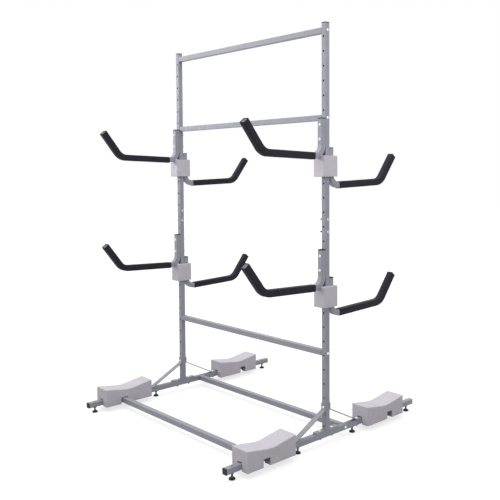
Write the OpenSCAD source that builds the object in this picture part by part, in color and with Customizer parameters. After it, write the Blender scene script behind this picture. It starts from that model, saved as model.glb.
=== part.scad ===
// Freestanding rack that holds four kayaks on its arms and more on its base.
//
// Two drilled posts of square tube stand on two base tubes and are tied together by
// cross bars. Bent arms bolt to the front and the rear of each post, two holes to an
// arm, and carry foam sleeves. Foam bumpers close round the posts between the arms,
// foam saddles sit on the base tubes, and eight levelling feet screw into their underside.
//
// X runs along the cross bars, Y from front to rear and Z up. The floor is at Z = 0, and
// the origin lies midway between the base tubes, halfway along them.

/* [Tube] */
// Outside width of the square steel tube
tube = 30; // [28:1:34]
// Wall thickness of the tube
wall = 2; // [1.5:0.25:3]
// Outer corner radius of the tube
tube_r = 3; // [2.5:0.25:4]

/* [Posts] */
// Distance between the posts, centre to centre
post_spacing = 1270; // [1000:10:1500]
// Height of the lowest hole of a post above the floor
first_hole_z = 315; // [290:5:380]
// Distance from one post hole to the next
hole_pitch = 75; // [72:1:80]
// Number of holes up a post
hole_count = 25; // [22:1:28]
// Length of the post above its top hole
post_over = 67; // [50:1:90]

/* [Cross bars] */
// Depth of the top bar's centre line below the post's end
top_bar_drop = 35; // [25:1:40]
// The middle bar lies half a pitch above this hole, counted from the lowest as 0
mid_bar_hole = 18; // [15:1:20]
// Height of the lower bar's centre line above the lowest hole
low_bar_lift = 162; // [155:1:170]
// Distance of the front base bar in front of the posts
front_bar_y = 475; // [450:5:500]
// Distance of the rear base bar behind the posts
rear_bar_y = 141; // [115:1:170]
// Thickness of the plate that closes each end of a bar
end_plate = 4; // [3:0.5:6]
// Step from the bar's faces in to the edge of its end plate
plate_step = 0.6; // [0.3:0.1:1]

/* [Arms] */
// Hole that takes the upper bolt of the upper front arms, counted from the lowest as 0
upper_hole = 18; // [17:1:20]
// Hole that takes the upper bolt of the lower front arms
lower_hole = 9; // [7:1:10]
// Number of holes that a rear arm sits below the front arm
rear_step = 2; // [2:1:3]
// Length of an arm's leg above its upper bolt
leg_over = 30; // [20:1:35]
// Drop from the upper bolt to the centre line of the run, at the leg
arm_drop = 162; // [155:1:175]
// Reach of the elbow from the middle of the post
arm_reach = 443; // [350:1:550]
// Rise of the run towards the elbow, in degrees
arm_tilt = 2; // [0:0.5:5]
// Centre-line radius of the bend between leg and run
bend_r = 60; // [50:1:75]
// Centre-line radius of the elbow between run and tip
elbow_r = 80; // [45:1:95]
// Slope of the tip above level, in degrees
tip_angle = 52; // [40:1:65]
// Length of the tip from the elbow's corner
tip_len = 184; // [130:1:220]

/* [Foam sleeves] */
// Wall thickness of the foam sleeve on an arm
sleeve_wall = 3; // [2:0.5:5]
// Corner radius of the sleeve
sleeve_r = 6; // [4.5:0.5:8]
// Bare tube between the end of the bend and the sleeve
sleeve_start = 1; // [0:0.5:30]
// Length of the sleeve past the end of the tip
sleeve_over = 2; // [0:0.5:4]

/* [Bumpers] */
// Height of the bumper
bumper_h = 108; // [95:1:110]
// Depth of the bumper's underside below the rear arm's lower bolt
bumper_drop = 41; // [38:1:50]
// Foam on each side of the post
bumper_side = 25; // [15:1:40]
// Foam in front of the post
bumper_front = 38; // [20:1:45]
// Foam behind the rear arm's leg
bumper_back = 8; // [7:1:20]
// Radius of the bumper's upright edges
bumper_r = 11; // [6:1:14]

/* [Base] */
// Length of a base tube over its end caps
base_len = 1443; // [1350:1:1600]
// Distance of the posts in front of the middle of the base tubes
post_offset = 29.5; // [0:0.5:40]
// Height of a base tube's underside above the floor
base_clear = 34; // [33:1:40]
// Length of the plate under a post
plate_len = 170; // [140:5:180]
// Thickness of the plate under a post
plate_t = 8; // [5:1:10]
// Corner radius of the plate
plate_r = 2; // [1:0.5:4]
// Distance of the plate's bolts from the middle of the post
plate_bolt = 45; // [35:1:60]

/* [Braces] */
// Thickness of the brace strap
brace_t = 5; // [4:0.5:6]
// Inner radius of the strap's bends
brace_r = 5; // [4:0.5:6]
// Height of the strap's upper bend above the base tube
brace_rise = 114; // [100:1:130]
// Distance of the strap's lower bend from the middle of the post
brace_reach = 237; // [235:1:240]
// Height of the upper bolt above the upper bend
brace_up = 13; // [12:1:20]
// Length of the strap above its upper bolt
brace_over = 22; // [12:1:30]
// Distance from the lower bend out to the lower bolt
brace_out = 13; // [11:0.5:14]
// Length of the strap past its lower bolt
brace_toe = 17; // [12:0.5:20]

/* [Saddles] */
// Length of a saddle along the base tube
saddle_len = 320; // [280:2:324]
// Distance of a saddle's middle from the middle of the post
saddle_mid = 439; // [436:1:446]
// Width of a saddle across the tube
saddle_w = 114; // [80:1:130]
// Height of a saddle's ends above the base tube
saddle_top = 68; // [55:1:85]
// Depth that a saddle reaches below the base tube
saddle_skirt = 7; // [0:1:10]
// Depth of the dip where its two slopes would meet
saddle_dip = 25; // [10:1:35]
// Radius that blends the two slopes
saddle_dip_r = 225; // [100:5:300]
// Radius of the saddle's upright edges
saddle_r = 5; // [3:1:10]
// Width of the notch across a saddle
notch_w = 43; // [40:1:50]
// Space between a base bar and the top of the notch
notch_gap = 2; // [1:0.5:6]
// Length of the relief at each end of the slot over the base tube
relief_len = 22; // [10:1:35]
// Height of that relief above the base tube
relief_h = 5; // [2:0.5:8]

/* [Levelling feet] */
// Distance of the outer feet from the ends of the base tube
foot_inset = 46.5; // [30:0.5:60]
// Distance of the inner feet from the middle of the post
inner_foot = 212; // [195:1:220]
// Diameter of a foot's pad
pad_d = 32; // [28:1:45]
// Thickness of the pad
pad_h = 8; // [7:0.5:9]
// Radius of the pad's upper edge
pad_r = 3; // [1:0.5:4]
// Diameter of the pad's boss
boss_d = 18; // [16:1:22]
// Height of the boss above the pad
boss_h = 2; // [1:0.5:3]
// Thickness of rubber under the socket for the stud
pad_floor = 3; // [2:0.5:4]
// Diameter of the threaded stud
stud_d = 10; // [8:1:12]
// Diameter of the collar that rests on the boss
collar_d = 16; // [14:0.5:18]
// Thickness of the collar
collar_h = 3; // [2:0.5:4]
// Depth of the stud's upper end below the base tube's top
stud_top = 6; // [5:0.5:12]
// Width across flats of the nut under the base tube
foot_nut_af = 17; // [16:0.5:19]
// Thickness of the nut under the base tube
foot_nut_h = 7; // [5:0.5:8]

/* [Bolts] */
// Diameter of the frame bolts
bolt_d = 8; // [6:0.5:9]
// Diameter of a bolt's domed head
head_d = 15; // [13:0.5:16]
// Height of the domed head
head_h = 4.5; // [3:0.5:5]
// Width of a nut across its flats
nut_af = 13; // [12:0.5:14]
// Thickness of a nut
nut_h = 6.5; // [5:0.5:7]
// Length of bolt past its nut
bolt_tail = 3; // [1:0.5:4]

/* [Caps] */
// Thickness of the lip on the caps of posts and base tubes
cap_lip = 5; // [3:0.5:8]
// Thickness of the lip on the caps of the arms
arm_lip = 3; // [2:0.5:4]
// Radius of the dome on a cap
cap_dome_r = 110; // [90:5:300]
// Depth that a cap's stem reaches into the tube
cap_stem = 14; // [8:1:15]
// Wall thickness of the stem
stem_wall = 2; // [1.5:0.5:3]

/* [Clearances] */
// Space round a bolt in a drilled hole
bolt_gap = 0.3; // [0.2:0.05:0.5]
// Space round a screw in the thread that carries it
thread_gap = 0.1; // [0.05:0.05:0.15]
// Space between a cap's stem and the tube
plug_gap = 0.25; // [0.1:0.05:0.3]
// Space between a foam piece and the tube that it is fitted on
foam_gap = 0.3; // [0.1:0.05:0.3]
// Space between the stud and the pad that it turns in
swivel_gap = 0.06; // [0.04:0.01:0.1]

/* [Hidden] */

// Colours of the painted steel, the foam, the plastic and the zinc plate
steel = "#aaa8b3";
sleeve_black = "#2b2a31";
pale_foam = "#c3c1cc";
dark_plastic = "#3a3940";
plug_grey = "#b9b8c0";
rubber = "#1d1d20";
zinc = "#d9d9dc";

// Length that a cut runs past the face it starts from
past = 2;
// Degrees that a bend reaches past each of its ends into the straight lengths
bend_lap = 1;
// Amount by which bending draws the walls in from both faces
bend_draw = 0.03;
// Inner corner radius of the tube, which stays round with a thick wall
tube_in_r = max(tube_r - wall, 0.5);
bolt_hole = bolt_d + 2 * bolt_gap;
base_top = base_clear + tube;
base_axis = base_clear + tube / 2;
post_x = post_spacing / 2;
post_foot = base_top + plate_t;
post_top = first_hole_z + (hole_count - 1) * hole_pitch + post_over;
base_front = -base_len / 2 + post_offset;
base_rear = base_len / 2 + post_offset;
bar_span = post_spacing - tube;
bar_levels = [
    post_top - top_bar_drop,
    first_hole_z + (mid_bar_hole + 0.5) * hole_pitch,
    first_hole_z + low_bar_lift,
];
foot_rows = [base_front + foot_inset, -inner_foot, inner_foot, base_rear - foot_inset];

// An arm is three straight lengths joined by two bends. The numbers count from the leg.
// The leg's centre line lies one tube width from the post's, so that their faces meet.
arm_turns = [90 + arm_tilt, tip_angle - arm_tilt];
arm_radii = [bend_r, elbow_r];
arm_trims = [for (i = [0, 1]) arm_radii[i] * tan(arm_turns[i] / 2)];
run_len = (arm_reach - tube) / cos(arm_tilt) - arm_trims[0] - arm_trims[1];
arm_lengths = [leg_over + arm_drop - arm_trims[0], run_len, tip_len - arm_lip - arm_trims[1]];

// A brace is bent from strap in the same way. Its centre line starts on the post's face.
brace_bend_r = brace_r + brace_t / 2;
brace_face = tube / 2 + brace_t / 2;
brace_drop = brace_rise - brace_t / 2;
brace_slope = atan2(brace_drop, brace_reach - brace_face);
brace_turns = [90 - brace_slope, brace_slope];
brace_trims = [for (turn = brace_turns) brace_bend_r * tan(turn / 2)];
brace_span = norm([brace_drop, brace_reach - brace_face]) - brace_trims[0] - brace_trims[1];
brace_lengths = [
    brace_up + brace_over - brace_trims[0],
    brace_span,
    brace_out + brace_toe - brace_trims[1],
];

function hole_z(number) = first_hole_z + number * hole_pitch;

// Sections

// Rectangle with rounded corners
module rounded_rect(w, l, r) {
    square([w, l - 2 * r], center = true);
    square([w - 2 * r, l], center = true);
    for (sx = [-1, 1], sy = [-1, 1])
        translate([sx * (w / 2 - r), sy * (l / 2 - r)])
            circle(r = r, $fn = 32);
}

// Square outline with an opening of the same form, as on a tube or a sleeve
module ring_section(outer, outer_r, inner, inner_r) {
    difference() {
        rounded_rect(outer, outer, outer_r);
        rounded_rect(inner, inner, inner_r);
    }
}

module tube_section(draw = 0) {
    ring_section(tube - 2 * draw, tube_r, tube - 2 * wall + 2 * draw, tube_in_r);
}

// Sweeps

// Stands a section up and runs it along +X. The section's X becomes Y, and its Y becomes Z.
module along_x(length) {
    rotate([90, 0, 90])
        linear_extrude(length)
            children();
}

// Moves to the far side of a bend that follows a straight length
module past_bend(length, r, turn) {
    translate([length, r, 0])
        rotate([0, 0, turn])
            translate([0, -r, 0])
                children();
}

// Bend to the left after a straight length, which reaches a little into both lengths that it joins
module bend(length, r, turn) {
    translate([length, r, 0])
        rotate([0, 0, -90 - bend_lap])
            rotate_extrude(angle = turn + 2 * bend_lap, $fn = 180)
                translate([r, 0])
                    children();
}

// Runs the first section along +X and bends to the left after each length but the last.
// The second section is the same one as bending leaves it.
module bent(lengths, radii, turns, i = 0) {
    along_x(lengths[i])
        children(0);
    if (i < len(turns)) {
        bend(lengths[i], radii[i], turns[i])
            children(1);
        past_bend(lengths[i], radii[i], turns[i])
            bent(lengths, radii, turns, i + 1) {
                children(0);
                children(1);
            }
    }
}

// Places

// Puts the posts at their distance in front of the middle of the base
module on_base() {
    translate([0, -post_offset, 0])
        children();
}

// Stands on a post: side is -1 for the left and 1 for the right
module at_post(side) {
    on_base()
        translate([side * post_x, 0, 0])
            children();
}

// Turns a drawing's X to point away from the post and its Y up.
// face is -1 in front of the post and 1 behind it.
module upright(face) {
    mirror([0, face < 0 ? 1 : 0, 0])
        rotate([90, 0, 90])
            children();
}

// Starts on the post's centre line at the height of an arm's upper bolt
module at_arm(side, face, number) {
    at_post(side)
        translate([0, 0, hole_z(number)])
            upright(face)
                children();
}

// Starts at the middle of a foot on the floor
module at_foot(side, row) {
    at_post(side)
        translate([0, foot_rows[row], 0])
            children();
}

// Drills

// Round cut through anything between two heights
module drill(d, from, to) {
    translate([0, 0, from])
        cylinder(d = d, h = to - from, $fn = 48);
}

// Cut across a tube along Y
module drill_y(d, reach) {
    rotate([90, 0, 0])
        drill(d, -reach, reach);
}

// Cut across a tube along X
module drill_x(d, reach) {
    rotate([0, 90, 0])
        drill(d, -reach, reach);
}

// Fasteners

// Domed head with its bearing face at Z = 0 and a shank that reaches down by length
module screw(length) {
    dome_r = (pow(head_d / 2, 2) + pow(head_h, 2)) / (2 * head_h);
    intersection() {
        cylinder(d = head_d, h = head_h, $fn = 48);
        translate([0, 0, head_h - dome_r])
            sphere(r = dome_r, $fn = 96);
    }
    drill(bolt_d, -length, head_h / 2);
}

// Screw and the nut that closes on a stack of this thickness
module bolt(grip) {
    screw(grip + nut_h + bolt_tail);
    translate([0, 0, -grip - nut_h])
        cylinder(d = nut_af / cos(30), h = nut_h, $fn = 6);
}

// Caps

// Lip with a low dome over a tube's end at Z = 0, and a hollow stem below it inside the tube
module cap(lip) {
    stem = tube - 2 * wall - 2 * plug_gap;
    intersection() {
        linear_extrude(lip)
            rounded_rect(tube, tube, tube_r);
        translate([0, 0, lip - cap_dome_r])
            sphere(r = cap_dome_r, $fn = 180);
    }
    translate([0, 0, -cap_stem])
        linear_extrude(cap_stem)
            ring_section(stem, tube_in_r, stem - 2 * stem_wall, tube_in_r / 2);
}

// Steel frame

// Drilled post, which stands on its plate
module post(side) {
    color(steel)
        at_post(side)
            difference() {
                translate([0, 0, post_foot])
                    linear_extrude(post_top - post_foot)
                        tube_section();
                for (number = [0 : hole_count - 1])
                    translate([0, 0, hole_z(number)])
                        drill_y(bolt_hole, tube);
                for (z = bar_levels)
                    translate([0, 0, z])
                        drill_x(bolt_hole, tube);
                translate([0, 0, base_top + brace_rise + brace_up])
                    drill_y(bolt_hole, tube);
            }
}

// Plate that spreads a post's foot along the base tube
module post_plate(side) {
    color(steel)
        at_post(side)
            translate([0, 0, base_top])
                difference() {
                    linear_extrude(plate_t)
                        rounded_rect(tube, plate_len, plate_r);
                    for (face = [-1, 1])
                        translate([0, face * plate_bolt, 0])
                            drill(bolt_hole, -past, plate_t + past);
                }
}

// Base tube with its holes for feet, plate, braces and bars
module base_tube(side) {
    color(steel)
        at_post(side)
            difference() {
                translate([0, base_front + cap_lip, base_axis])
                    rotate([-90, 0, 0])
                        linear_extrude(base_len - 2 * cap_lip)
                            tube_section();
                for (y = foot_rows)
                    translate([0, y, 0])
                        drill(stud_d + 2 * bolt_gap, base_clear - past, base_top + past);
                for (face = [-1, 1], y = [plate_bolt, brace_reach + brace_out])
                    translate([0, face * y, 0])
                        drill(bolt_hole, base_clear - past, base_top + past);
                for (y = [-front_bar_y, rear_bar_y])
                    translate([0, y, base_axis])
                        drill_x(bolt_hole, tube);
            }
}

// Cross bar from post to post. Each end is closed by a plate with a nut behind it.
module bar() {
    color(steel)
        on_base()
            difference() {
                union() {
                    translate([end_plate - bar_span / 2, 0, 0])
                        along_x(bar_span - 2 * end_plate)
                            tube_section();
                    for (end = [-1, 1])
                        mirror([end < 0 ? 1 : 0, 0, 0])
                            translate([bar_span / 2 - end_plate, 0, 0]) {
                                along_x(end_plate)
                                    rounded_rect(tube - 2 * plate_step, tube - 2 * plate_step, tube_r);
                                rotate([0, -90, 0])
                                    cylinder(d = nut_af / cos(30), h = nut_h, $fn = 6);
                            }
                }
                for (end = [-1, 1])
                    translate([end * bar_span / 2, 0, 0])
                        drill_x(bolt_d + 2 * thread_gap, end_plate + nut_h + past);
            }
}

module level_bar(number) {
    translate([0, 0, bar_levels[number]])
        bar();
}

module base_bar(y) {
    translate([0, y, base_axis])
        bar();
}

// Strap bent flat against the post above and against the base tube below
module brace(side, face) {
    color(steel)
        at_post(side)
            translate([0, 0, base_top])
                upright(face)
                    difference() {
                        translate([brace_face, brace_rise + brace_up + brace_over, 0])
                            rotate([0, 0, -90])
                                bent(brace_lengths, [brace_bend_r, brace_bend_r], brace_turns) {
                                    square([brace_t, tube], center = true);
                                    square([brace_t - 2 * bend_draw, tube - 2 * bend_draw], center = true);
                                }
                        translate([brace_face, brace_rise + brace_up, 0])
                            drill_x(bolt_hole, brace_t);
                        translate([brace_reach + brace_out, brace_t / 2, 0])
                            drill_y(bolt_hole, brace_t);
                    }
}

// Arms

// Starts at the top of an arm's leg and runs down it
module down_leg() {
    translate([tube, leg_over, 0])
        rotate([0, 0, -90])
            children();
}

// Starts where the run leaves the leg's bend
module along_run() {
    down_leg()
        past_bend(arm_lengths[0], arm_radii[0], arm_turns[0])
            children();
}

// Bent tube, bolted through its leg
module arm(side, face, number) {
    color(steel)
        at_arm(side, face, number)
            difference() {
                down_leg()
                    bent(arm_lengths, arm_radii, arm_turns) {
                        tube_section();
                        tube_section(bend_draw);
                    }
                for (y = [0, -hole_pitch])
                    translate([tube, y, 0])
                        drill_x(bolt_hole, tube);
            }
}

module sleeve_section(draw = 0) {
    bore = tube + 2 * foam_gap;
    ring_section(bore + 2 * sleeve_wall - 2 * draw, sleeve_r, bore + 2 * draw, tube_r + foam_gap);
}

// Foam sleeve round the run, the elbow and the tip
module sleeve(side, face, number) {
    color(sleeve_black)
        at_arm(side, face, number)
            along_run()
                translate([sleeve_start, 0, 0])
                    bent([run_len - sleeve_start, arm_lengths[2] + arm_lip + sleeve_over],
                         [elbow_r], [arm_turns[1]]) {
                        sleeve_section();
                        sleeve_section(bend_draw);
                    }
}

// Foam pieces on the frame

// Bumper round a post and the leg of the rear arm bolted in this hole
module bumper(side, number) {
    slot = tube + 2 * foam_gap;
    front = tube / 2 + bumper_front;
    back = 1.5 * tube + bumper_back;
    bottom = -hole_pitch - bumper_drop;
    bend_centre = [-tube - bend_r, rear_step * hole_pitch - arm_drop + arm_trims[0]];
    color(pale_foam)
        at_post(side)
            translate([0, 0, hole_z(number)])
                difference() {
                    translate([0, (back - front) / 2, bottom])
                        linear_extrude(bumper_h)
                            rounded_rect(tube + 2 * bumper_side, front + back, bumper_r);
                    translate([-slot / 2, -slot / 2, bottom - past])
                        cube([slot, slot + tube, bumper_h + 2 * past]);
                    upright(1)
                        down_leg()
                            bent(arm_lengths, arm_radii, arm_turns) {
                                rounded_rect(slot, slot, tube_r);
                                rounded_rect(slot - 2 * bend_draw, slot - 2 * bend_draw, tube_r);
                            }
                    // The front arm bends away just above, and the edge is hollowed to its curve
                    translate([0, bend_centre[0], bend_centre[1]])
                        rotate([0, 90, 0])
                            cylinder(r = bend_r + slot / 2, h = slot, center = true, $fn = 180);
                    // Pockets for the heads and nuts of the rear arm's bolts
                    for (z = [0, -hole_pitch])
                        translate([0, 0, z])
                            rotate([90, 0, 0])
                                drill(head_d + 2 * foam_gap, -1.5 * tube - head_h - foam_gap,
                                      tube / 2 + nut_h + bolt_tail + foam_gap);
                }
}

// Side view of the space above a saddle: two slopes blended by an arc
module saddle_dip_section() {
    half = saddle_len / 2;
    slope = atan2(saddle_dip, half);
    apex = saddle_top - saddle_dip;
    touch = saddle_dip_r * sin(slope);
    polygon([
        [-half - past, apex + (half + past) * tan(slope)],
        [-touch, apex + touch * tan(slope)],
        [touch, apex + touch * tan(slope)],
        [half + past, apex + (half + past) * tan(slope)],
        [half + past, saddle_top + saddle_dip],
        [-half - past, saddle_top + saddle_dip],
    ]);
    translate([0, apex + saddle_dip_r / cos(slope)])
        circle(r = saddle_dip_r, $fn = 180);
}

// Saddle that straddles the base tube. Its notch lets a base bar and its bolt pass.
module saddle(side, face) {
    slot = tube + 2 * foam_gap;
    foot = -tube - saddle_skirt;
    notch = front_bar_y - saddle_mid;
    color(pale_foam)
        at_post(side)
            translate([0, face * saddle_mid, base_top])
                difference() {
                    translate([0, 0, foot])
                        linear_extrude(saddle_top - foot)
                            rounded_rect(saddle_w, saddle_len, saddle_r);
                    translate([-saddle_w, 0, 0])
                        along_x(2 * saddle_w)
                            saddle_dip_section();
                    translate([-slot / 2, -saddle_len, foot - past])
                        cube([slot, 2 * saddle_len, past + foam_gap - foot]);
                    for (end = [-1, 1])
                        translate([-slot / 2, end * saddle_len / 2 - relief_len, foot - past])
                            cube([slot, 2 * relief_len, past + relief_h - foot]);
                    translate([-saddle_w, face * notch - notch_w / 2, foot - past])
                        cube([2 * saddle_w, notch_w, past + notch_gap - foot]);
                }
}

// Levelling feet

// Rubber pad with a socket that the stud turns in
module foot_pad(side, row) {
    color(rubber)
        at_foot(side, row)
            difference() {
                union() {
                    cylinder(d = pad_d, h = pad_h - pad_r, $fn = 64);
                    cylinder(d = pad_d - 2 * pad_r, h = pad_h, $fn = 64);
                    translate([0, 0, pad_h - pad_r])
                        rotate_extrude($fn = 64)
                            translate([pad_d / 2 - pad_r, 0])
                                circle(r = pad_r, $fn = 32);
                    cylinder(d = boss_d, h = pad_h + boss_h, $fn = 48);
                }
                drill(stud_d + 2 * swivel_gap, pad_floor, pad_h + boss_h + past);
            }
}

// Threaded stud with the collar that bears on the pad's boss
module foot_stud(side, row) {
    seat = pad_h + boss_h + swivel_gap;
    color(zinc)
        at_foot(side, row) {
            drill(stud_d, pad_floor + swivel_gap, base_top - stud_top);
            translate([0, 0, seat])
                cylinder(d = collar_d, h = collar_h, $fn = 48);
        }
}

// Nodes

module left_post() { post(-1); }
module right_post() { post(1); }
module left_post_plate() { post_plate(-1); }
module right_post_plate() { post_plate(1); }
module left_base_tube() { base_tube(-1); }
module right_base_tube() { base_tube(1); }

module top_bar() { level_bar(0); }
module middle_bar() { level_bar(1); }
module lower_bar() { level_bar(2); }
module front_base_bar() { base_bar(-front_bar_y); }
module rear_base_bar() { base_bar(rear_bar_y); }

module left_front_brace() { brace(-1, -1); }
module left_rear_brace() { brace(-1, 1); }
module right_front_brace() { brace(1, -1); }
module right_rear_brace() { brace(1, 1); }

module left_upper_front_arm() { arm(-1, -1, upper_hole); }
module left_upper_rear_arm() { arm(-1, 1, upper_hole - rear_step); }
module left_lower_front_arm() { arm(-1, -1, lower_hole); }
module left_lower_rear_arm() { arm(-1, 1, lower_hole - rear_step); }
module right_upper_front_arm() { arm(1, -1, upper_hole); }
module right_upper_rear_arm() { arm(1, 1, upper_hole - rear_step); }
module right_lower_front_arm() { arm(1, -1, lower_hole); }
module right_lower_rear_arm() { arm(1, 1, lower_hole - rear_step); }

module left_upper_front_sleeve() { sleeve(-1, -1, upper_hole); }
module left_upper_rear_sleeve() { sleeve(-1, 1, upper_hole - rear_step); }
module left_lower_front_sleeve() { sleeve(-1, -1, lower_hole); }
module left_lower_rear_sleeve() { sleeve(-1, 1, lower_hole - rear_step); }
module right_upper_front_sleeve() { sleeve(1, -1, upper_hole); }
module right_upper_rear_sleeve() { sleeve(1, 1, upper_hole - rear_step); }
module right_lower_front_sleeve() { sleeve(1, -1, lower_hole); }
module right_lower_rear_sleeve() { sleeve(1, 1, lower_hole - rear_step); }

module left_upper_bumper() { bumper(-1, upper_hole - rear_step); }
module left_lower_bumper() { bumper(-1, lower_hole - rear_step); }
module right_upper_bumper() { bumper(1, upper_hole - rear_step); }
module right_lower_bumper() { bumper(1, lower_hole - rear_step); }

module left_front_saddle() { saddle(-1, -1); }
module left_rear_saddle() { saddle(-1, 1); }
module right_front_saddle() { saddle(1, -1); }
module right_rear_saddle() { saddle(1, 1); }

module left_pad_1() { foot_pad(-1, 0); }
module left_pad_2() { foot_pad(-1, 1); }
module left_pad_3() { foot_pad(-1, 2); }
module left_pad_4() { foot_pad(-1, 3); }
module right_pad_1() { foot_pad(1, 0); }
module right_pad_2() { foot_pad(1, 1); }
module right_pad_3() { foot_pad(1, 2); }
module right_pad_4() { foot_pad(1, 3); }

module left_stud_1() { foot_stud(-1, 0); }
module left_stud_2() { foot_stud(-1, 1); }
module left_stud_3() { foot_stud(-1, 2); }
module left_stud_4() { foot_stud(-1, 3); }
module right_stud_1() { foot_stud(1, 0); }
module right_stud_2() { foot_stud(1, 1); }
module right_stud_3() { foot_stud(1, 2); }
module right_stud_4() { foot_stud(1, 3); }

// Arms as [face, hole of the upper bolt]
arm_rows = [
    [-1, upper_hole],
    [1, upper_hole - rear_step],
    [-1, lower_hole],
    [1, lower_hole - rear_step],
];

// Caps on the posts, on both ends of each base tube and on the legs of the arms
module end_caps() {
    color(dark_plastic) {
        for (side = [-1, 1]) {
            at_post(side) {
                translate([0, 0, post_top])
                    cap(cap_lip);
                translate([0, base_front + cap_lip, base_axis])
                    rotate([90, 0, 0])
                        cap(cap_lip);
                translate([0, base_rear - cap_lip, base_axis])
                    rotate([-90, 0, 0])
                        cap(cap_lip);
            }
            for (row = arm_rows)
                at_arm(side, row[0], row[1])
                    translate([tube, leg_over, 0])
                        rotate([-90, 0, 0])
                            cap(arm_lip);
        }
    }
}

// Plugs in the ends of the tips
module tip_plugs() {
    color(plug_grey)
        for (side = [-1, 1], row = arm_rows)
            at_arm(side, row[0], row[1])
                along_run()
                    past_bend(arm_lengths[1], arm_radii[1], arm_turns[1])
                        translate([arm_lengths[2], 0, 0])
                            rotate([0, 90, 0])
                                cap(arm_lip);
}

// Every bolt of the frame, with its nut where that isn't inside a bar
module bolts() {
    color(zinc)
        for (side = [-1, 1]) {
            // Arms to posts, with the nuts on the post's far face
            for (row = arm_rows, y = [0, -hole_pitch])
                at_arm(side, row[0], row[1])
                    translate([1.5 * tube, y, 0])
                        rotate([0, 90, 0])
                            bolt(2 * tube);
            at_post(side) {
                // Posts to cross bars, then base tubes to base bars
                for (z = bar_levels)
                    bar_screw(side, 0, z);
                for (y = [-front_bar_y, rear_bar_y])
                    bar_screw(side, y, base_axis);
                // Plate and braces down to the base tube
                for (face = [-1, 1]) {
                    translate([0, face * plate_bolt, post_foot])
                        bolt(tube + plate_t);
                    translate([0, face * (brace_reach + brace_out), base_top + brace_t])
                        bolt(tube + brace_t);
                }
                // Both braces to the post, with the head in front
                translate([0, -tube / 2 - brace_t, base_top + brace_rise + brace_up])
                    rotate([90, 0, 0])
                        bolt(tube + 2 * brace_t);
            }
        }
}

// Screw that runs through a tube into the end of a bar
module bar_screw(side, y, z) {
    translate([side * tube / 2, y, z])
        rotate([0, side * 90, 0])
            screw(tube + end_plate + nut_h);
}

// Nuts that hold the studs, welded under the base tubes
module foot_nuts() {
    color(dark_plastic)
        for (side = [-1, 1], row = [0 : 3])
            at_foot(side, row)
                translate([0, 0, base_clear - foot_nut_h])
                    difference() {
                        cylinder(d = foot_nut_af / cos(30), h = foot_nut_h, $fn = 6);
                        drill(stud_d + 2 * thread_gap, -past, foot_nut_h + past);
                    }
}

left_post();
right_post();
left_post_plate();
right_post_plate();
left_base_tube();
right_base_tube();
top_bar();
middle_bar();
lower_bar();
front_base_bar();
rear_base_bar();
left_front_brace();
left_rear_brace();
right_front_brace();
right_rear_brace();
left_upper_front_arm();
left_upper_rear_arm();
left_lower_front_arm();
left_lower_rear_arm();
right_upper_front_arm();
right_upper_rear_arm();
right_lower_front_arm();
right_lower_rear_arm();
left_upper_front_sleeve();
left_upper_rear_sleeve();
left_lower_front_sleeve();
left_lower_rear_sleeve();
right_upper_front_sleeve();
right_upper_rear_sleeve();
right_lower_front_sleeve();
right_lower_rear_sleeve();
left_upper_bumper();
left_lower_bumper();
right_upper_bumper();
right_lower_bumper();
left_front_saddle();
left_rear_saddle();
right_front_saddle();
right_rear_saddle();
left_pad_1();
left_pad_2();
left_pad_3();
left_pad_4();
right_pad_1();
right_pad_2();
right_pad_3();
right_pad_4();
left_stud_1();
left_stud_2();
left_stud_3();
left_stud_4();
right_stud_1();
right_stud_2();
right_stud_3();
right_stud_4();
end_caps();
tip_plugs();
bolts();
foot_nuts();
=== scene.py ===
# %% [markdown]
# # Freestanding kayak rack
# Two posts with rows of holes stand on a base of square tubes. Eight bent arms in foam
# sleeves carry four boats, and four foam saddles on the base carry two more. The steel is
# one powder coated tube throughout, so most of the picture is made by a few finishes used
# well.
#
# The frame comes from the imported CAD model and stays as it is. This script dresses it:
# finishes for the steel, and modelled pieces for the foam, the fasteners and the feet.

# %% Load the frame
import math

import bmesh
import bpy
import numpy as np
from mathutils import Matrix, Vector, noise


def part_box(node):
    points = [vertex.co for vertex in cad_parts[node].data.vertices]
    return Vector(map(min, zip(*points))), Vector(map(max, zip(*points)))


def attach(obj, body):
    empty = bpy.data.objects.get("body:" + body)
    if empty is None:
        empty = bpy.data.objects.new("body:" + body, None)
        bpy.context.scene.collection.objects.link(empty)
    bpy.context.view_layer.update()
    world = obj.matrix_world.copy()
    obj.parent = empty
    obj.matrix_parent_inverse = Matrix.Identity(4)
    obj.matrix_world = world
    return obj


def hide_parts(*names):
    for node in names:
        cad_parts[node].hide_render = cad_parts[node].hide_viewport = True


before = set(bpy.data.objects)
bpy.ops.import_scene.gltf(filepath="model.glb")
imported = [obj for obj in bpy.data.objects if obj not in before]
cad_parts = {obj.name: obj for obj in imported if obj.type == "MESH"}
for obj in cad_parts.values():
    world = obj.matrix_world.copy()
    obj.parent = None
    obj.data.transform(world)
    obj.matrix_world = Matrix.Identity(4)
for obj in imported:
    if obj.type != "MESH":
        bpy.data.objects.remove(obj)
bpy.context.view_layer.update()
MM = 0.001

# %% [markdown]
# ## Sizes that several pieces share
# A dressed piece has to sit exactly where its plain solid sits, so its place is worked out
# from the solids' own boxes wherever that is possible. The few sizes that a box can't tell,
# such as the radius of a bend, are written in millimetres, once.

# %% Sizes and places
TUBE = 30.0
WALL = 2.0
HOLE_PITCH = 75.0
FIRST_HOLE = 315.0
HOLE_R = 4.3
LEG_OVER = 30.0  # from an arm's upper bolt to the top of its leg
PLATE_T = 8.0
BRACE_T = 5.0
END_PLATE = 4.0
SIDES = {"left": -1, "right": 1}
FACES = {"front": -1, "rear": 1}
LEVELS = ("upper", "lower")
ARMS = [(f"{side}_{level}_{face}", sx, sy) for side, sx in SIDES.items() for level in LEVELS
        for face, sy in FACES.items()]


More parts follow.
